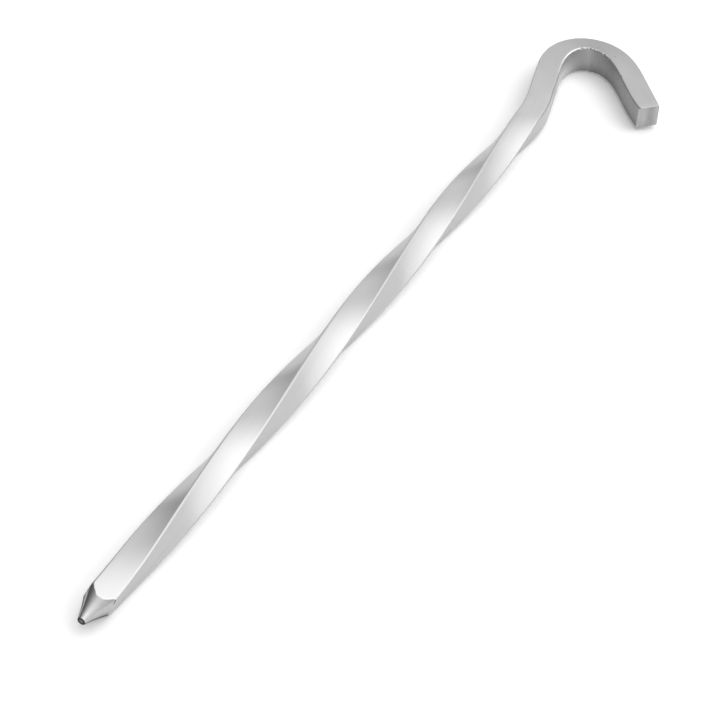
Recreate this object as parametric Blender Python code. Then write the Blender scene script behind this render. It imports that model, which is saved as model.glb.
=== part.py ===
"""Tent stake: one square aluminium bar with a turned point, a twisted shank and a bent hook.

The stake lies on its side. +X runs along the shank from the point to the hook, and the hook is bent in the
XY plane, so +Z is square to it. The origin is the centre of the point's blunt end. Lengths are in millimetres
until the mesh is made, and angles are in degrees.

A place on the bar is told by its distance from the point along the bar's centre line, as on the straight bar
before it was bent.
"""

import math

import bmesh
import bpy

MM = 0.001

# Bar
BAR_WIDTH = 6.0
CORNER_RADIUS = 0.45
CORNER_SEGMENTS = 4

# Shank: the twist is left-handed. It starts where the bar was gripped at the point, reaches its full rate over
# TWIST_START, tightens a little towards the hook, and runs out at TWIST_END.
SHANK_LENGTH = 189.4
TWIST_START = 20.0
TWIST_END = 193.5
TWIST_RUN_OUT = 3.6
TWIST_RATE_LOW = 1.94
TWIST_RATE_HIGH = 2.24

# Hook: a shallow bend to the left and then a tight one to the right, each eased in and out
NECK_RADIUS = 28.7
NECK_EASE = 3.0
NECK_ARC = 5.0
NECK_TO_CROOK = 9.4
CROOK_RADIUS = 8.0
CROOK_EASE_IN = 13.4
CROOK_ARC = 6.6
CROOK_EASE_OUT = 16.0
LEG_LENGTH = 12.56
# The bar was sheared off a little askew: how far the cut leads for each millimetre towards the inside of the hook
CUT_SLOPE = 0.07
# Bent bar swells on the inside of the bend and thins on the outside. This is its plastic Poisson's ratio.
BEND_SPREAD = 0.5

# Point: turned to a cone that grows steeper towards its base, with a blunt end
POINT_END_RADIUS = 0.88
POINT_SLOPE = 0.3325
POINT_FLARE = 0.0168
POINT_LENGTH = 7.2
POINT_SEGMENTS = 40
POINT_STEPS = 6
CUTTER_RADIUS = 5.5
CUTTER_OVERRUN = 1.0

# How far the bar may twist or bend between two sections of the mesh, and the longest gap between sections
STEP_ANGLE = 4.5
STEP_LENGTH = 4.0

ALUMINIUM_COLOUR = (0.55, 0.55, 0.55, 1.0)
ALUMINIUM_ROUGHNESS = 0.32


def bend_stations():
    """(distance, curvature) pairs, between which the curvature changes evenly. Left is positive."""
    neck, crook = 1 / NECK_RADIUS, -1 / CROOK_RADIUS
    spans = [
        (NECK_EASE, neck),
        (NECK_ARC, neck),
        (NECK_EASE, 0.0),
        (NECK_TO_CROOK, 0.0),
        (CROOK_EASE_IN, crook),
        (CROOK_ARC, crook),
        (CROOK_EASE_OUT, 0.0),
        (LEG_LENGTH, 0.0),
    ]
    stations = [(0.0, 0.0), (SHANK_LENGTH, 0.0)]
    for length, curvature in spans:
        stations.append((stations[-1][0] + length, curvature))
    return stations


def twist_stations():
    """(distance, degrees of twist per millimetre) pairs, between which the rate changes evenly."""
    return [
        (0.0, 0.0),
        (TWIST_START, TWIST_RATE_LOW),
        (TWIST_END - TWIST_RUN_OUT, TWIST_RATE_HIGH),
        (TWIST_END, 0.0),
        (bar_length(), 0.0),
    ]


def bar_length():
    return bend_stations()[-1][0]


def value_at(stations, distance):
    for (start, low), (end, high) in zip(stations, stations[1:]):
        if distance <= end:
            return low + (high - low) * (distance - start) / (end - start)
    return stations[-1][1]


def total_to(stations, distance):
    """The area under the stations' broken line, from 0 to this distance."""
    total = 0.0
    for (start, low), (end, _) in zip(stations, stations[1:]):
        if distance <= start:
            break
        stop = min(distance, end)
        total += (stop - start) * (low + value_at(stations, stop)) / 2
    return total


def section_distances():
    """Where the mesh has its sections: closer together where the bar twists or bends faster."""
    bends, twists = bend_stations(), twist_stations()
    distances = [0.0]
    while distances[-1] < bar_length():
        here = distances[-1]
        ahead = here + 1.0
        bend = max(abs(value_at(bends, here)), abs(value_at(bends, ahead)))
        twist = max(value_at(twists, here), value_at(twists, ahead))
        turning = max(math.degrees(bend), twist)
        step = min(STEP_LENGTH, STEP_ANGLE / turning) if turning else STEP_LENGTH
        distances.append(here + step)
    return distances[:-1] + [bar_length()]


def centre_line(distances):
    """(x, y, heading) at each distance, by short chords along the curve."""
    bends = bend_stations()
    x = y = 0.0
    places = [(0.0, 0.0, 0.0)]
    for start, end in zip(distances, distances[1:]):
        chord_heading = total_to(bends, (start + end) / 2)
        x += (end - start) * math.cos(chord_heading)
        y += (end - start) * math.sin(chord_heading)
        places.append((x, y, total_to(bends, end)))
    return places


def square_section():
    """The bar's outline as (across, up) points: a square with round corners."""
    reach = BAR_WIDTH / 2 - CORNER_RADIUS
    points = []
    for corner in range(4):
        middle = math.radians(45 + 90 * corner)
        cx = math.copysign(reach, math.cos(middle))
        cy = math.copysign(reach, math.sin(middle))
        for i in range(CORNER_SEGMENTS + 1):
            angle = math.radians(90 * corner + 90 * i / CORNER_SEGMENTS)
            points.append((cx + CORNER_RADIUS * math.cos(angle), cy + CORNER_RADIUS * math.sin(angle)))
    return points


def section_points(place, twist, curvature, slope):
    """The outline at one place on the bar, twisted and spread by the bend. A slope of 0 is square to the bar."""
    x, y, heading = place
    points = []
    for across, up in square_section():
        left = across * math.cos(twist) - up * math.sin(twist)
        high = across * math.sin(twist) + up * math.cos(twist)
        high *= 1 + BEND_SPREAD * curvature * left
        along_x = x - left * math.sin(heading) - slope * left * math.cos(heading)
        along_y = y + left * math.cos(heading) - slope * left * math.sin(heading)
        points.append((along_x, along_y, high))
    return points


def loft(bm, sections):
    """A closed skin over the sections, with a flat cap at each end."""
    rings = [[bm.verts.new([c * MM for c in point]) for point in section] for section in sections]
    count = len(rings[0])
    for ring, following in zip(rings, rings[1:]):
        for i in range(count):
            j = (i + 1) % count
            bm.faces.new((ring[i], ring[j], following[j], following[i]))
    bm.faces.new(list(reversed(rings[0])))
    bm.faces.new(rings[-1])


def finish_mesh(bm, name):
    """The object of this mesh, with every face turned outwards."""
    bmesh.ops.recalc_face_normals(bm, faces=bm.faces)
    mesh = bpy.data.meshes.new(name)
    bm.to_mesh(mesh)
    bm.free()
    made = bpy.data.objects.new(name, mesh)
    bpy.context.scene.collection.objects.link(made)
    return made


def make_bar():
    """The bent and twisted bar, before its point is turned."""
    bends, twists = bend_stations(), twist_stations()
    distances = section_distances()
    whole_twist = total_to(twists, bar_length())
    sections = []
    for distance, place in zip(distances, centre_line(distances)):
        twist = math.radians(whole_twist - total_to(twists, distance))
        slope = CUT_SLOPE if distance == bar_length() else 0.0
        sections.append(section_points(place, twist, value_at(bends, distance), slope))
    bm = bmesh.new()
    loft(bm, sections)
    return finish_mesh(bm, "stake")


def point_radius(x):
    return POINT_END_RADIUS + POINT_SLOPE * x + POINT_FLARE * x * x


def make_point_cutter():
    """What the lathe takes off round the point: a ring whose inside is the cone."""
    inside = [(POINT_LENGTH * i / POINT_STEPS) for i in range(POINT_STEPS + 1)]
    profile = [(-CUTTER_OVERRUN, POINT_END_RADIUS)]
    profile += [(x, point_radius(x)) for x in inside]
    profile += [(POINT_LENGTH, CUTTER_RADIUS), (-CUTTER_OVERRUN, CUTTER_RADIUS)]
    bm = bmesh.new()
    rings = []
    for i in range(POINT_SEGMENTS):
        angle = math.tau * i / POINT_SEGMENTS
        ring = [(x * MM, r * math.cos(angle) * MM, r * math.sin(angle) * MM) for x, r in profile]
        rings.append([bm.verts.new(point) for point in ring])
    for ring, following in zip(rings, rings[1:] + rings[:1]):
        for i in range(len(profile)):
            j = (i + 1) % len(profile)
            bm.faces.new((ring[i], ring[j], following[j], following[i]))
    cutter = finish_mesh(bm, "point_cutter")
    cutter.hide_render = True
    cutter.display_type = "WIRE"
    return cutter


def make_aluminium():
    material = bpy.data.materials.new("aluminium")
    material.use_nodes = True
    shader = material.node_tree.nodes["Principled BSDF"]
    shader.inputs["Base Color"].default_value = ALUMINIUM_COLOUR
    shader.inputs["Metallic"].default_value = 1.0
    shader.inputs["Roughness"].default_value = ALUMINIUM_ROUGHNESS
    return material


def make_stake():
    stake = make_bar()
    stake.data.materials.append(make_aluminium())
    turned = stake.modifiers.new("turned_point", "BOOLEAN")
    turned.operation = "DIFFERENCE"
    turned.solver = "EXACT"
    turned.object = make_point_cutter()
    return stake


def clear_scene():
    for thing in list(bpy.data.objects):
        bpy.data.objects.remove(thing, do_unlink=True)


clear_scene()
make_stake()
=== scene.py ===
"""The looks of the tent stake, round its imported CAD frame.

The CAD node is a coarse bar, so a fine bar of the same shape stands for it: drawn along its length, twisted
and bent, with a turned point and a sheared end. +X runs along the shank from the point to the hook, and +Z is
up. Lengths are in millimetres until something is placed in the scene, and angles are in degrees.

A place on the bar is told by its distance from the point along the centre line, and by how far across and up
it lies in the section. Those three were the bar's own straight axes before it was twisted and bent, so its
grain and its marks follow them. The inside of the hook is the side where across is negative.
"""

import math

import bmesh
import bpy
from mathutils import Matrix, Vector, noise


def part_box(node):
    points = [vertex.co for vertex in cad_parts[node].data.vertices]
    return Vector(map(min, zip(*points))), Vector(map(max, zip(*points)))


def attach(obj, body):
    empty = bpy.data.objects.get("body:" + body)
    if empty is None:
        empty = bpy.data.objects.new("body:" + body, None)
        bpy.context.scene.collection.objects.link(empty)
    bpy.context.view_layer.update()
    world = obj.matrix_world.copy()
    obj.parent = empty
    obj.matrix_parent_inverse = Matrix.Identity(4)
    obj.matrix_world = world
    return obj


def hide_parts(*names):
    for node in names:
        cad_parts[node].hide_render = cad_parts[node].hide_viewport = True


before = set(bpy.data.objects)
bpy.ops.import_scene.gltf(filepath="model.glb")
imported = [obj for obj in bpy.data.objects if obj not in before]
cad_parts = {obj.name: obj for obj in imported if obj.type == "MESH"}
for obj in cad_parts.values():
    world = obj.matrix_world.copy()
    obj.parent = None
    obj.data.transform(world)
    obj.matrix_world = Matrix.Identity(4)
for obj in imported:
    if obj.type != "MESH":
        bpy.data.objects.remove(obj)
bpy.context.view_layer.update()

MM = 0.001

# Bar, shank and hook, as the CAD model has them
BAR_WIDTH = 6.0
CORNER_RADIUS = 0.45
SHANK_LENGTH = 189.4
TWIST_START = 20.0
TWIST_END = 193.5
TWIST_RUN_OUT = 3.6
TWIST_RATE_LOW = 1.94
TWIST_RATE_HIGH = 2.24
NECK_RADIUS = 28.7
NECK_EASE = 3.0
NECK_ARC = 5.0
NECK_TO_CROOK = 9.4
CROOK_RADIUS = 8.0
CROOK_EASE_IN = 13.4
CROOK_ARC = 6.6
CROOK_EASE_OUT = 16.0
LEG_LENGTH = 12.56
CUT_SLOPE = 0.07
BEND_SPREAD = 0.5
POINT_END_RADIUS = 0.88
POINT_SLOPE = 0.3325
POINT_FLARE = 0.0168

# Fineness of the mesh
CORNER_SEGMENTS = 8
FLAT_SEGMENTS = 10
SHANK_STEP = 0.5
CROOK_STEP = 0.16
POINT_STEP = 0.09
BEFORE_END = 0.4
BEHIND_POINT = 8.0
BEHIND_POINT_STEPS = 12
BEHIND_POINT_CROWDING = 1.6
EDGE_STEPS = 5
CAP_RINGS = 10
SHARP_ANGLE = 32.0

# The turned point: fine rings that fade just short of the flats, a soft edge round the blunt end, and an
# uneven edge where the cut runs into the flats. A grain is how often unevenness comes and goes in a
# millimetre.
TURNING_PITCH = 0.36
TURNING_DEPTH = 0.008
TURNING_FADE = 0.9
POINT_EDGE = 0.07
CUT_WANDER = 0.45
CUT_GRAIN = 1.1
ROUNDING_DEPTH = 0.03
ROUNDING_WIDTH = 0.08
ROUNDING_GRAIN = 1.3

# Rings over the blunt end, as (share of its radius, how deep its dish is there)
BLUNT_RINGS = ((0.86, 0.0), (0.7, 0.01), (0.5, 0.04), (0.3, 0.03), (0.14, 0.0))

# The hook's end: its inner side was pushed in by the blade, most of all at its upper edge, its upper side
# droops a little, and the cut face is torn
CUT_EDGE = 0.12
SQUEEZE_LENGTH = 7.0
SQUEEZE_DEPTH = 0.6
ROLL_LENGTH = 1.0
ROLL_DEPTH = 0.2
DROOP_LENGTH = 1.6
DROOP = 0.05
TEAR_HEIGHT = 0.05
TEAR_GRAIN = 0.5
TEAR_FULL = 0.8

# Waves all over the bar, and knocks on its corners wherever their grain peaks
WAVE_HEIGHT = 0.004
WAVE_GRAIN_ALONG = 0.35
WAVE_GRAIN_ROUND = 0.5
KNOCK_DEPTH = 0.06
KNOCK_GRAIN_ALONG = 0.8
KNOCK_GRAIN_ROUND = 0.4
KNOCK_PEAK = (0.42, 0.62)

# The crook: the metal inside it was squeezed into creases, and heaped up along the edges round its crown. The
# crown's four distances are where this starts, is full, starts to fade and ends.
CROWN = (221.0, 227.0, 235.0, 240.0)
CREASE_HEIGHT = 0.016
CREASE_GRAIN_ALONG = 1.9
CREASE_GRAIN_ROUND = 0.35
HEAP_HEIGHT = 0.12
HEAP_GRAIN_ALONG = 1.5
HEAP_GRAIN_ROUND = 0.2

# A side of the bar starts to count this far from its middle, and counts in full this far
SIDE = (2.0, 2.9)

# Where a bending tool pressed the inside of the crook: from this distance on, and this far across
PRESSED_FROM = (228.5, 230.5)
PRESSED_ACROSS = (-2.2, -2.8)

# Each kind of unevenness is taken from its own part of the noise
CREASE_SEED = 3.1
HEAP_SEED = 7.7
KNOCK_SEED = 11.3
CUT_SEED = 2.7
ROUNDING_SEED = 9.1
TEAR_SEED = 5.3

# Nicks in the hook's upper inner edge, as (distance, depth)
NICKS = (
    (225.2, 0.2),
    (227.3, 0.12),
    (228.5, 0.16),
    (232.1, 0.2),
    (234.5, 0.2),
    (237.2, 0.22),
    (245.0, 0.14),
)
NICK_WIDTH = 0.24

# A small dent on the upper side of the crook, as (distance, across, up), painted darker inside as painted
# shade. Its floor is a share of its size.
DENT = (236.6, -0.7, 3.0)
DENT_SIZE = (0.26, 0.5, 0.6)
DENT_FLOOR = 0.2

# Surfaces, in the order of the material slots
DRAWN, TURNED, SHEARED, BLUNT = range(4)


# ---------------------------------------------------------------- the bar's law, as in the CAD model


def bend_stations():
    """(distance, curvature) pairs, between which the curvature changes evenly. Left is positive."""
    neck, crook = 1 / NECK_RADIUS, -1 / CROOK_RADIUS
    spans = [
        (NECK_EASE, neck),
        (NECK_ARC, neck),
        (NECK_EASE, 0.0),
        (NECK_TO_CROOK, 0.0),
        (CROOK_EASE_IN, crook),
        (CROOK_ARC, crook),
        (CROOK_EASE_OUT, 0.0),
        (LEG_LENGTH, 0.0),
    ]
    stations = [(0.0, 0.0), (SHANK_LENGTH, 0.0)]
    for length, curvature in spans:
        stations.append((stations[-1][0] + length, curvature))
    return stations


BENDS = bend_stations()
BAR_LENGTH = BENDS[-1][0]
TWISTS = [
    (0.0, 0.0),
    (TWIST_START, TWIST_RATE_LOW),
    (TWIST_END - TWIST_RUN_OUT, TWIST_RATE_HIGH),
    (TWIST_END, 0.0),
    (BAR_LENGTH, 0.0),
]

# The crook starts where the straight length behind the neck ends
CROOK_START = BENDS[5][0]


def value_at(stations, distance):
    for (start, low), (end, high) in zip(stations, stations[1:]):
        if distance <= end:
            return low + (high - low) * (distance - start) / (end - start)
    return stations[-1][1]


def total_to(stations, distance):
    """The area under the stations' broken line, from 0 to this distance."""
    total = 0.0
    for (start, low), (end, _) in zip(stations, stations[1:]):
        if distance <= start:
            break
        stop = min(distance, end)
        total += (stop - start) * (low + value_at(stations, stop)) / 2
    return total


WHOLE_TWIST = total_to(TWISTS, BAR_LENGTH)


def twist_at(distance):
    return math.radians(WHOLE_TWIST - total_to(TWISTS, distance))


def point_radius(x):
    return POINT_END_RADIUS + POINT_SLOPE * x + POINT_FLARE * x * x


def point_length_at(radius):
    """How far from the end the point has this radius."""
    root = POINT_SLOPE**2 - 4 * POINT_FLARE * (POINT_END_RADIUS - radius)
    return (math.sqrt(root) - POINT_SLOPE) / (2 * POINT_FLARE)


def smooth(low, high, value):
    share = min(1.0, max(0.0, (value - low) / (high - low)))
    return share * share * (3 - 2 * share)


# ---------------------------------------------------------------- the section


def section_outline():
    """The section once round, as (across, up, outward across, outward up, edge). Edge is 1 in mid-corner."""
    reach = BAR_WIDTH / 2 - CORNER_RADIUS
    outline = []
    for corner in range(4):
        middle = math.radians(45 + 90 * corner)
        cx = math.copysign(reach, math.cos(middle))
        cy = math.copysign(reach, math.sin(middle))
        for i in range(CORNER_SEGMENTS + 1):
            angle = math.radians(90 * (corner + i / CORNER_SEGMENTS))
            a, u = math.cos(angle), math.sin(angle)
            edge = math.sin(math.pi * i / CORNER_SEGMENTS)
            outline.append((cx + CORNER_RADIUS * a, cy + CORNER_RADIUS * u, a, u, edge))
        # The flat that follows, with its points closer together near the corners
        for i in range(1, FLAT_SEGMENTS):
            along = reach * math.cos(math.pi * i / FLAT_SEGMENTS)
            outline.append((a * BAR_WIDTH / 2 + u * along, u * BAR_WIDTH / 2 - a * along, a, u, 0.0))
    return outline


OUTLINE = section_outline()
COLUMNS = len(OUTLINE)


# ---------------------------------------------------------------- relief of the drawn and bent surface


def grain(x, y, z):
    """Smooth noise between about -1 and 1."""
    return noise.noise(Vector((x, y, z)))


def relief(distance, across, up, edge):
    """How far the surface stands out from the true bar, in millimetres."""
    height = WAVE_HEIGHT * grain(
        distance * WAVE_GRAIN_ALONG,
        across * WAVE_GRAIN_ROUND,
        up * WAVE_GRAIN_ROUND,
    )
    height += crook_relief(distance, across, up, edge)
    if edge:
        knock = grain(
            distance * KNOCK_GRAIN_ALONG,
            across * KNOCK_GRAIN_ROUND,
            up * KNOCK_GRAIN_ROUND + KNOCK_SEED,
        )
        height -= KNOCK_DEPTH * edge * smooth(*KNOCK_PEAK, knock)
    if edge and across < 0 < up:
        for centre, depth in NICKS:
            height -= depth * edge * math.exp(-(((distance - centre) / NICK_WIDTH) ** 2))
    height -= DROOP * smooth(*SIDE, up) * smooth(BAR_LENGTH - DROOP_LENGTH, BAR_LENGTH, distance)
    return height


def crook_relief(distance, across, up, edge):
    """Creases over the inside of the crook's crown, and heaps along its edges."""
    inside = smooth(*SIDE, -across)
    crown = smooth(CROWN[0], CROWN[1], distance) * (1 - smooth(CROWN[2], CROWN[3], distance))
    crease = grain(distance * CREASE_GRAIN_ALONG, up * CREASE_GRAIN_ROUND, CREASE_SEED)
    heap = grain(distance * HEAP_GRAIN_ALONG, HEAP_SEED, up * HEAP_GRAIN_ROUND)
    return inside * crown * (CREASE_HEIGHT * crease + HEAP_HEIGHT * edge * heap)


def near_end(distance, length):
    """1 at the hook's end, falling to 0 this length before it."""
    return max(0.0, 1 - (BAR_LENGTH - distance) / length) ** 2


def pushed_in(distance, across, up):
    """Where a point of the section lies across, once the blade has pushed in the inner side near the end."""
    push = SQUEEZE_DEPTH * near_end(distance, SQUEEZE_LENGTH)
    push += ROLL_DEPTH * near_end(distance, ROLL_LENGTH) * smooth(0.0, BAR_WIDTH / 2, up)
    # In full on the inner side, and not at all on the outer side
    return across + push * (0.5 - across / BAR_WIDTH) ** 3


# ---------------------------------------------------------------- the mesh


class Skin:
    """A mesh under construction, whose vertices remember their place on the straight bar."""

    def __init__(self):
        self.bm = bmesh.new()
        self.place = self.bm.verts.layers.float_vector.new("bar_place")
        self.edge = self.bm.verts.layers.float.new("edge")
        self.pressed = self.bm.verts.layers.float.new("pressed")

    def vertex(self, point, place, edge=0.0, pressed=0.0):
        made = self.bm.verts.new([c * MM for c in point])
        made[self.place] = place
        made[self.edge] = edge
        made[self.pressed] = pressed
        return made

    def strip(self, ring, following, surface):
        """One band of faces between two closed rings, the second further along."""
        for i in range(len(ring)):
            j = (i + 1) % len(ring)
            face = self.bm.faces.new((ring[i], ring[j], following[j], following[i]))
            face.material_index = surface
            face.smooth = True

    def fan(self, ring, centre, surface):
        """Triangles from a ring to its middle. The way round is mended once the whole skin is closed."""
        for i in range(len(ring)):
            face = self.bm.faces.new((ring[i], ring[(i + 1) % len(ring)], centre))
            face.material_index = surface
            face.smooth = True


def ring_distances():
    """Where the rings of the bar stand behind the point: closer together in the crook."""
    last = BAR_LENGTH - BEFORE_END
    distances = [BEHIND_POINT]
    while distances[-1] < last:
        here = distances[-1]
        distances.append(here + (CROOK_STEP if here > CROOK_START else SHANK_STEP))
    return distances[:-1] + [last]


def centre_places(distances):
    """(x, y, heading) at each distance, by short chords along the curve from the start of the bends."""
    x, y, start = distances[0], 0.0, distances[0]
    places = [(x, y, 0.0)]
    for end in distances[1:]:
        chord = total_to(BENDS, (start + end) / 2)
        x += (end - start) * math.cos(chord)
        y += (end - start) * math.sin(chord)
        places.append((x, y, total_to(BENDS, end)))
        start = end
    return places


def on_bar(distance, place, across, up):
    """Where a point of the section comes to lie, once the bar is twisted and bent."""
    x, y, heading = place
    twist = twist_at(distance)
    left = across * math.cos(twist) - up * math.sin(twist)
    high = across * math.sin(twist) + up * math.cos(twist)
    high *= 1 + BEND_SPREAD * value_at(BENDS, distance) * left
    return (x - left * math.sin(heading), y + left * math.cos(heading), high)


def bar_vertex(skin, distance, place, column, lift=0.0):
    """A vertex of the bar's side. Lift is how far it stands out beyond its relief."""
    across, up, out_across, out_up, edge = OUTLINE[column]
    height = relief(distance, across, up, edge) + lift
    pushed = pushed_in(distance, across + out_across * height, up)
    point = on_bar(distance, place, pushed, up + out_up * height)
    pressed = smooth(*PRESSED_FROM, distance) * smooth(*PRESSED_ACROSS, across)
    return skin.vertex(point, (distance, across, up), edge, pressed)


def shoulder_rings(skin):
    """Rings from the edge where the turned point cuts the flats, up to the first whole section."""
    rings = []
    for step in range(BEHIND_POINT_STEPS):
        share = (step / BEHIND_POINT_STEPS) ** BEHIND_POINT_CROWDING
        ring = []
        for column in range(COLUMNS):
            cut = cut_distance(column)
            distance = cut + (BEHIND_POINT - cut) * share
            lift = -rounding(column, distance - cut)
            ring.append(bar_vertex(skin, distance, (distance, 0.0, 0.0), column, lift))
        rings.append(ring)
    return rings


def point_rings(skin):
    """Rings of the turned point, from its blunt end to just short of the edge with the flats."""
    rings = []
    for step in range(EDGE_STEPS):
        turn = math.radians(90 * step / EDGE_STEPS)
        x = POINT_EDGE * (1 - math.cos(turn))
        radius = point_radius(x) - POINT_EDGE * (1 - math.sin(turn))
        rings.append([point_vertex(skin, x, radius, column) for column in range(COLUMNS)])
    count = round(max(cut_distance(column) for column in range(COLUMNS)) / POINT_STEP)
    for step in range(count):
        share = step / count
        ring = []
        for column in range(COLUMNS):
            x = POINT_EDGE + (cut_distance(column) - POINT_EDGE) * share
            groove = TURNING_DEPTH * math.cos(math.tau * x / TURNING_PITCH) * smooth(1.0, TURNING_FADE, share)
            dip = groove + rounding(column, cut_distance(column) - x)
            ring.append(point_vertex(skin, x, point_radius(x) - dip, column))
        rings.append(ring)
    return rings


def cut_distance(column):
    """How far from the point the turned cone meets this column of the bar."""
    across, up, *_ = OUTLINE[column]
    wander = CUT_WANDER * grain(across * CUT_GRAIN, up * CUT_GRAIN, CUT_SEED)
    return point_length_at(math.hypot(across, up)) + wander


def rounding(column, away):
    """How far the edge between cone and flats is worn down, this far away from it: unevenly round the bar."""
    across, up, *_ = OUTLINE[column]
    depth = ROUNDING_DEPTH * (1 + grain(across * ROUNDING_GRAIN, up * ROUNDING_GRAIN, ROUNDING_SEED))
    return depth * math.exp(-((away / ROUNDING_WIDTH) ** 2))


def point_vertex(skin, x, radius, column):
    """A vertex of the point, on the line from its end to where this column of the bar begins."""
    across, up, *_ = OUTLINE[column]
    angle = math.atan2(up, across) + twist_at(cut_distance(column))
    return skin.vertex((x, radius * math.cos(angle), radius * math.sin(angle)), (x, across, up))


def blunt_end(skin, ring):
    """The small flat on the point, with a shallow dish in its middle."""
    radius = math.hypot(ring[0].co.y, ring[0].co.z) / MM
    for share, depth in BLUNT_RINGS:
        inner = []
        for vert in ring:
            angle = math.atan2(vert.co.z, vert.co.y)
            y, z = radius * share * math.cos(angle), radius * share * math.sin(angle)
            inner.append(skin.vertex((depth, y, z), (depth, y, z)))
        skin.strip(inner, ring, BLUNT)
        ring = inner
    centre = skin.vertex((0.0, 0.0, 0.0), (0.0, 0.0, 0.0))
    skin.fan(ring, centre, BLUNT)


def end_vertex(skin, place, across, up, ahead):
    """A vertex near the hook's end, where the bar is straight: ahead is from the end of the centre line."""
    x, y, heading = place
    across = pushed_in(BAR_LENGTH + ahead, across, up)
    ahead -= CUT_SLOPE * across
    x += ahead * math.cos(heading) - across * math.sin(heading)
    y += ahead * math.sin(heading) + across * math.cos(heading)
    return skin.vertex((x, y, up), (BAR_LENGTH + ahead, across, up))


def sheared_end(skin, ring, place):
    """The hook's end: its edge, then rings over the torn face towards its middle."""
    for step in range(EDGE_STEPS + 1):
        turn = math.radians(90 * step / EDGE_STEPS)
        following, rim = [], []
        for across, up, out_across, out_up, edge in OUTLINE:
            lift = relief(BAR_LENGTH, across, up, edge) - CUT_EDGE * (1 - math.cos(turn))
            rim.append((across + out_across * lift, up + out_up * lift))
            following.append(end_vertex(skin, place, *rim[-1], -CUT_EDGE * (1 - math.sin(turn))))
        skin.strip(ring, following, SHEARED if step == EDGE_STEPS else DRAWN)
        ring = following
    for cap in range(1, CAP_RINGS):
        share = 1 - cap / CAP_RINGS
        following = []
        for rim_across, rim_up in rim:
            across, up = rim_across * share, rim_up * share
            tear = TEAR_HEIGHT * smooth(1.0, TEAR_FULL, share)
            tear *= grain(across * TEAR_GRAIN, up * TEAR_GRAIN, TEAR_SEED)
            following.append(end_vertex(skin, place, across, up, tear - TEAR_HEIGHT / 2))
        skin.strip(ring, following, SHEARED)
        ring = following
    skin.fan(ring, end_vertex(skin, place, 0.0, 0.0, -TEAR_HEIGHT / 2), SHEARED)


def make_stake():
    skin = Skin()
    point = point_rings(skin)
    shoulder = shoulder_rings(skin)
    distances = ring_distances()
    *places, end_place = centre_places(distances + [BAR_LENGTH])
    bar = [
        [bar_vertex(skin, distance, place, column) for column in range(COLUMNS)]
        for distance, place in zip(distances, places)
    ]
    blunt_end(skin, point[0])
    for step, (ring, following) in enumerate(zip(point, point[1:] + shoulder[:1])):
        skin.strip(ring, following, BLUNT if step < EDGE_STEPS else TURNED)
    for ring, following in zip(shoulder, shoulder[1:] + bar[:1]):
        skin.strip(ring, following, DRAWN)
    for ring, following in zip(bar, bar[1:]):
        skin.strip(ring, following, DRAWN)
    sheared_end(skin, bar[-1], end_place)
    bmesh.ops.recalc_face_normals(skin.bm, faces=skin.bm.faces)
    mesh = bpy.data.meshes.new("stake_bar")
    skin.bm.to_mesh(mesh)
    skin.bm.free()
    mesh.set_sharp_from_angle(angle=math.radians(SHARP_ANGLE))
    stake = bpy.data.objects.new("stake_bar", mesh)
    bpy.context.scene.collection.objects.link(stake)
    return stake


# ---------------------------------------------------------------- materials

# Where the shank's finish gives way to that of the bent bar
HOOK_FINISH = (196.0, 218.0)

# How far across the flat inside of the hook starts to count, and where it counts in full
INNER_FLAT = (-2.75, -2.98)

# A painted reflection brightens the inside of the hook: where this sets in, is full, starts to fade and ends
INSIDE_PAINTED_REFLECTION = (204.0, 214.0, 218.0, 227.0)

# How much paler a corner of the bent bar is painted at the top of the bar, as a painted highlight, and how
# much at the bottom, where it is painted shade
CORNER_PAINTED_LIGHT = (0.18, -0.06)

# Only the peaks of their noise leave ticks on the bar
TICK_PEAK = (0.66, 0.74)

# The torn band down the cut face: how far across it runs, and from its middle to where it ends and is full
TORN_ACROSS = 0.9
TORN_WIDTH = (1.7, 0.3)

# The paler middle of the blunt end: how far out it ends and is full
PALE_MIDDLE = (0.62, 0.3)


def math_node(nodes, links, operation, *values):
    """The result of a Math node, whose inputs are numbers or other nodes' outputs."""
    made = nodes.new("ShaderNodeMath")
    made.operation = operation
    for socket, value in zip(made.inputs, values):
        if isinstance(value, (int, float)):
            socket.default_value = value
        else:
            links.new(value, socket)
    return made.outputs[0]


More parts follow.
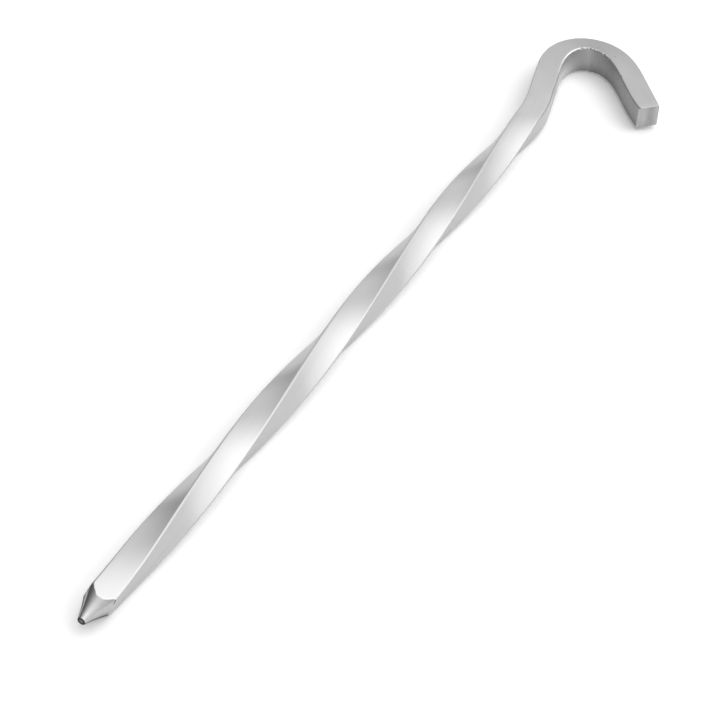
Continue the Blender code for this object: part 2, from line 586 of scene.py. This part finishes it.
class Nodes:
    """A material's node tree, with short ways to add what these metals need."""

    def __init__(self, name):
        self.material = bpy.data.materials.new(name)
        self.material.use_nodes = True
        self.tree = self.material.node_tree
        self.shader = self.tree.nodes["Principled BSDF"]

    def add(self, kind, **settings):
        node = self.tree.nodes.new("ShaderNode" + kind)
        for name, value in settings.items():
            setattr(node, name, value)
        return node

    def join(self, source, target):
        self.tree.links.new(source, target)

    def attribute(self, name, output):
        return self.add("Attribute", attribute_name=name).outputs[output]

    def vector(self, operation, value, constant):
        """The vector that Vector Math makes of another node's output and a constant vector."""
        made = self.add("VectorMath", operation=operation)
        self.join(value, made.inputs[0])
        made.inputs[1].default_value = constant
        return made.outputs["Vector"]

    def length(self, value):
        made = self.add("VectorMath", operation="LENGTH")
        self.join(value, made.inputs[0])
        return made.outputs["Value"]

    def along(self, place, axis):
        """One of the bar's own axes: X is the distance, Y is across and Z is up."""
        made = self.add("SeparateXYZ")
        self.join(place, made.inputs[0])
        return made.outputs[axis]

    def noise(self, place, fineness, detail=3.0, roughness=0.55):
        """Noise over the bar. Fineness is how often it comes and goes in a millimetre of each bar axis."""
        made = self.add("TexNoise")
        self.join(self.vector("MULTIPLY", place, fineness), made.inputs["Vector"])
        made.inputs["Scale"].default_value = 1.0
        made.inputs["Detail"].default_value = detail
        made.inputs["Roughness"].default_value = roughness
        return made.outputs["Fac"]

    def ramp(self, value, low, high, at_low=0.0, at_high=1.0):
        """Eases from one number, where the value is low, to another, where it is high."""
        made = self.add("MapRange", interpolation_type="SMOOTHSTEP")
        self.join(value, made.inputs["Value"])
        made.inputs["From Min"].default_value = low
        made.inputs["From Max"].default_value = high
        made.inputs["To Min"].default_value = at_low
        made.inputs["To Max"].default_value = at_high
        return made.outputs["Result"]

    def math(self, operation, first, second=0.0):
        return math_node(self.tree.nodes, self.tree.links, operation, first, second)

    def product(self, first, second):
        return self.math("MULTIPLY", first, second)

    def plus(self, start, *terms):
        """start plus each (value, weight), for values that are 0 where they change nothing."""
        total = start
        for value, weight in terms:
            total = self.math("ADD", self.product(value, weight), total)
        return total

    def varied(self, start, *terms):
        """start plus each (value, weight). A value from 0 to 1 moves it by half its weight each way."""
        return self.plus(start, *((self.math("SUBTRACT", value, 0.5), weight) for value, weight in terms))

    def grey(self, value):
        made = self.add("CombineColor")
        for socket in made.inputs:
            self.join(value, socket)
        return made.outputs[0]

    def bump(self, *layers):
        """Stacks (height, depth in millimetres) layers into one normal."""
        normal = None
        for height, depth in layers:
            made = self.add("Bump")
            made.inputs["Strength"].default_value = 1.0
            made.inputs["Distance"].default_value = depth * MM
            self.join(height, made.inputs["Height"])
            if normal:
                self.join(normal, made.inputs["Normal"])
            normal = made.outputs["Normal"]
        self.join(normal, self.shader.inputs["Normal"])

    def metal(self, shade, roughness, grazing):
        """Metal of this shade seen head on. Grazing is how much of its shine is left along the surface."""
        self.shader.inputs["Metallic"].default_value = 1.0
        self.shader.inputs["Specular Tint"].default_value = (grazing, grazing, grazing, 1.0)
        self.join(self.grey(shade), self.shader.inputs["Base Color"])
        self.join(roughness, self.shader.inputs["Roughness"])


def drawn_aluminium():
    """Satin bar, with fine lines and broad streaks along it.

    The hook is darker than the shank, and its inside is duller. Painted shade darkens the inside, the more so
    towards its lower edge, save where a painted reflection brightens it. It is smeared where a tool pressed
    it.
    """
    n = Nodes("drawn_aluminium")
    place = n.attribute("bar_place", "Vector")
    edge = n.attribute("edge", "Fac")
    pressed = n.attribute("pressed", "Fac")
    lines = n.noise(place, (0.06, 7.0, 7.0), detail=4.0, roughness=0.6)
    streaks = n.noise(place, (0.02, 1.3, 1.3))
    clouds = n.noise(place, (0.08, 0.16, 0.16), detail=2.0)
    smears = n.noise(place, (1.6, 0.3, 0.35), detail=4.0)
    ticks = n.ramp(n.noise(place, (2.4, 0.7, 0.7), detail=2.0), *TICK_PEAK)
    smear = n.product(smears, pressed)

    distance, across, up = (n.along(place, axis) for axis in "XYZ")
    bent = n.ramp(distance, *HOOK_FINISH)
    inside = n.product(bent, n.ramp(across, *INNER_FLAT))
    reflection_from, reflection_fully, reflection_less, reflection_to = INSIDE_PAINTED_REFLECTION
    painted_reflection = n.product(inside, n.ramp(distance, reflection_to, reflection_less))
    painted_reflection = n.product(painted_reflection, n.ramp(distance, reflection_from, reflection_fully))
    low = n.ramp(up, 0.0, -BAR_WIDTH / 2)
    corner = n.product(edge, bent)
    painted_corner_light = n.product(corner, n.ramp(low, 0.0, 1.0, *CORNER_PAINTED_LIGHT))
    # The dent is a hollow in the bump, and its middle is also painted darker, as painted shade
    from_dent = n.length(n.vector("DIVIDE", n.vector("SUBTRACT", place, DENT), DENT_SIZE))
    undented = n.ramp(from_dent, DENT_FLOOR, 1.0)
    dent_painted_shade = n.math("SUBTRACT", 1.0, undented)

    shade = n.varied(0.48, (lines, 0.04), (streaks, 0.04), (clouds, 0.04))
    # Painted light on the corners: all are painted a little darker, painted shade that dims their highlights,
    # and the hook's corners get a painted highlight at the top and painted shade at the bottom
    shade = n.plus(shade, (bent, -0.05), (edge, -0.06), (painted_corner_light, 1.0), (smear, -0.12), (dent_painted_shade, -0.22))
    # Painted shade darkens the hook's inside, most near its lower edge; a painted reflection brightens part
    # of it
    shade = n.plus(shade, (inside, -0.04), (n.product(inside, low), -0.1), (painted_reflection, 0.42))
    roughness = n.varied(0.3, (lines, 0.08), (streaks, 0.1), (clouds, 0.08))
    roughness = n.plus(roughness, (edge, -0.03), (inside, 0.16), (corner, 0.16))
    n.metal(shade, roughness, grazing=0.9)
    n.bump((lines, 0.004), (streaks, 0.004), (smear, 0.012), (ticks, 0.003), (undented, 0.05))
    return n.material


def turned_aluminium():
    """The lathe's finish: smoother metal, with rings round the point."""
    n = Nodes("turned_aluminium")
    place = n.attribute("bar_place", "Vector")
    rings = n.noise(place, (9.0, 0.05, 0.05), detail=3.0, roughness=0.6)
    bands = n.noise(place, (1.2, 0.1, 0.1), detail=2.0)
    shade = n.varied(0.46, (rings, 0.1), (bands, 0.06))
    roughness = n.varied(0.18, (rings, 0.06), (bands, 0.04))
    n.metal(shade, roughness, grazing=0.15)
    n.bump((rings, 0.014), (bands, 0.004))
    return n.material


def sheared_aluminium():
    """The cut end: dull metal with faint lines up and down it, darker in a band where it tore last."""
    n = Nodes("sheared_aluminium")
    place = n.attribute("bar_place", "Vector")
    tears = n.noise(place, (0.0, 5.0, 0.5), roughness=0.6)
    patches = n.noise(place, (0.0, 0.55, 0.4))
    from_band = n.math("ABSOLUTE", n.math("SUBTRACT", n.along(place, "Y"), TORN_ACROSS))
    torn = n.ramp(from_band, *TORN_WIDTH)
    shade = n.plus(n.varied(0.41, (tears, 0.06), (patches, 0.12)), (torn, -0.09))
    roughness = n.varied(0.42, (tears, 0.1), (patches, 0.14))
    n.metal(shade, roughness, grazing=0.85)
    n.bump((tears, 0.006), (patches, 0.02))
    return n.material


def blunt_point():
    """The parted-off end: dark, rough metal round a paler middle."""
    n = Nodes("blunt_point")
    place = n.attribute("bar_place", "Vector")
    grit = n.noise(place, (3.0, 3.0, 3.0), detail=4.0, roughness=0.6)
    middle = n.ramp(n.length(place), *PALE_MIDDLE)
    shade = n.varied(0.1, (grit, 0.06), (middle, 0.12))
    roughness = n.varied(0.5, (grit, 0.2))
    n.metal(shade, roughness, grazing=0.85)
    n.bump((grit, 0.01))
    return n.material


# ---------------------------------------------------------------- floor, light and camera

# The floor glows a little, like a light table, which keeps the contact shadows pale
FLOOR_SIZE = 12.0
FLOOR_WHITE = 0.9
FLOOR_ROUGHNESS = 0.9
FLOOR_SHINE = 0.1
FLOOR_GLOW = 0.142

# Soft light on a dim room, as broad glows: (brightness, sharpness, degrees from +X towards +Y, degrees up)
ROOM_BRIGHTNESS = 0.1
OVERHEAD_SOFTBOX = (2.12, 3.5, 317.0, 68.0)
FAR_SOFTBOX = (0.88, 14.0, 38.0, 19.0)
NEAR_WALL = (1.26, 3.1, 295.0, 7.0)

# The camera: what it looks at and how far it is, in metres, and the way that it looks
CAMERA_LENS = 127.3
CAMERA_AIM = (0.09468, -0.00813, 0.0)
CAMERA_DISTANCE = 0.55262
CAMERA_HEADING = 26.62
CAMERA_DOWN = 42.66
CAMERA_ROLL = 4.691
CAMERA_CLIP_START = 0.01
CAMERA_CLIP_END = 20.0


def make_floor():
    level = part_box("stake")[0].z
    mesh = bpy.data.meshes.new("floor")
    half = FLOOR_SIZE / 2
    corners = [(-half, -half, level), (half, -half, level), (half, half, level), (-half, half, level)]
    mesh.from_pydata(corners, [], [(0, 1, 2, 3)])
    floor = bpy.data.objects.new("floor", mesh)
    bpy.context.scene.collection.objects.link(floor)
    material = bpy.data.materials.new("white_floor")
    material.use_nodes = True
    shader = material.node_tree.nodes["Principled BSDF"]
    shader.inputs["Base Color"].default_value = (FLOOR_WHITE, FLOOR_WHITE, FLOOR_WHITE, 1.0)
    shader.inputs["Roughness"].default_value = FLOOR_ROUGHNESS
    shader.inputs["Specular IOR Level"].default_value = FLOOR_SHINE
    shader.inputs["Emission Color"].default_value = (1.0, 1.0, 1.0, 1.0)
    shader.inputs["Emission Strength"].default_value = FLOOR_GLOW
    mesh.materials.append(material)


def make_world():
    """The room and its softboxes, seen as smooth glows all round."""
    world = bpy.data.worlds.new("studio")
    bpy.context.scene.world = world
    world.use_nodes = True
    nodes, links = world.node_tree.nodes, world.node_tree.links
    view = nodes.new("ShaderNodeTexCoord").outputs["Generated"]
    brightness = None
    for strength, sharpness, heading, height in (OVERHEAD_SOFTBOX, FAR_SOFTBOX, NEAR_WALL):
        heading, height = math.radians(heading), math.radians(height)
        facing = nodes.new("ShaderNodeVectorMath")
        facing.operation = "DOT_PRODUCT"
        facing.inputs[1].default_value = (
            math.cos(height) * math.cos(heading),
            math.cos(height) * math.sin(heading),
            math.sin(height),
        )
        links.new(view, facing.inputs[0])
        spread = math_node(nodes, links, "MULTIPLY_ADD", facing.outputs["Value"], sharpness, -sharpness)
        glow = math_node(nodes, links, "EXPONENT", spread)
        brightness = math_node(nodes, links, "MULTIPLY_ADD", glow, strength, brightness or ROOM_BRIGHTNESS)
    links.new(brightness, nodes["Background"].inputs["Strength"])
    nodes["Background"].inputs["Color"].default_value = (1.0, 1.0, 1.0, 1.0)


def make_camera():
    heading, down, roll = (math.radians(a) for a in (CAMERA_HEADING, CAMERA_DOWN, CAMERA_ROLL))
    flat = math.cos(down)
    look = Vector((flat * math.cos(heading), flat * math.sin(heading), -math.sin(down)))
    level_right = look.cross(Vector((0, 0, 1))).normalized()
    level_up = level_right.cross(look)
    right = math.cos(roll) * level_right + math.sin(roll) * level_up
    up = math.cos(roll) * level_up - math.sin(roll) * level_right
    camera = bpy.data.objects.new("camera", bpy.data.cameras.new("camera"))
    camera.data.lens = CAMERA_LENS
    camera.data.clip_start = CAMERA_CLIP_START
    camera.data.clip_end = CAMERA_CLIP_END
    camera.matrix_world = Matrix((right, up, -look)).transposed().to_4x4()
    camera.location = Vector(CAMERA_AIM) - look * CAMERA_DISTANCE
    bpy.context.scene.collection.objects.link(camera)
    bpy.context.scene.camera = camera


make_camera()
make_floor()
make_world()
bpy.context.scene.view_settings.view_transform = "Standard"

stake = make_stake()
for surface in (drawn_aluminium(), turned_aluminium(), sheared_aluminium(), blunt_point()):
    stake.data.materials.append(surface)
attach(stake, "root")
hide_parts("stake")
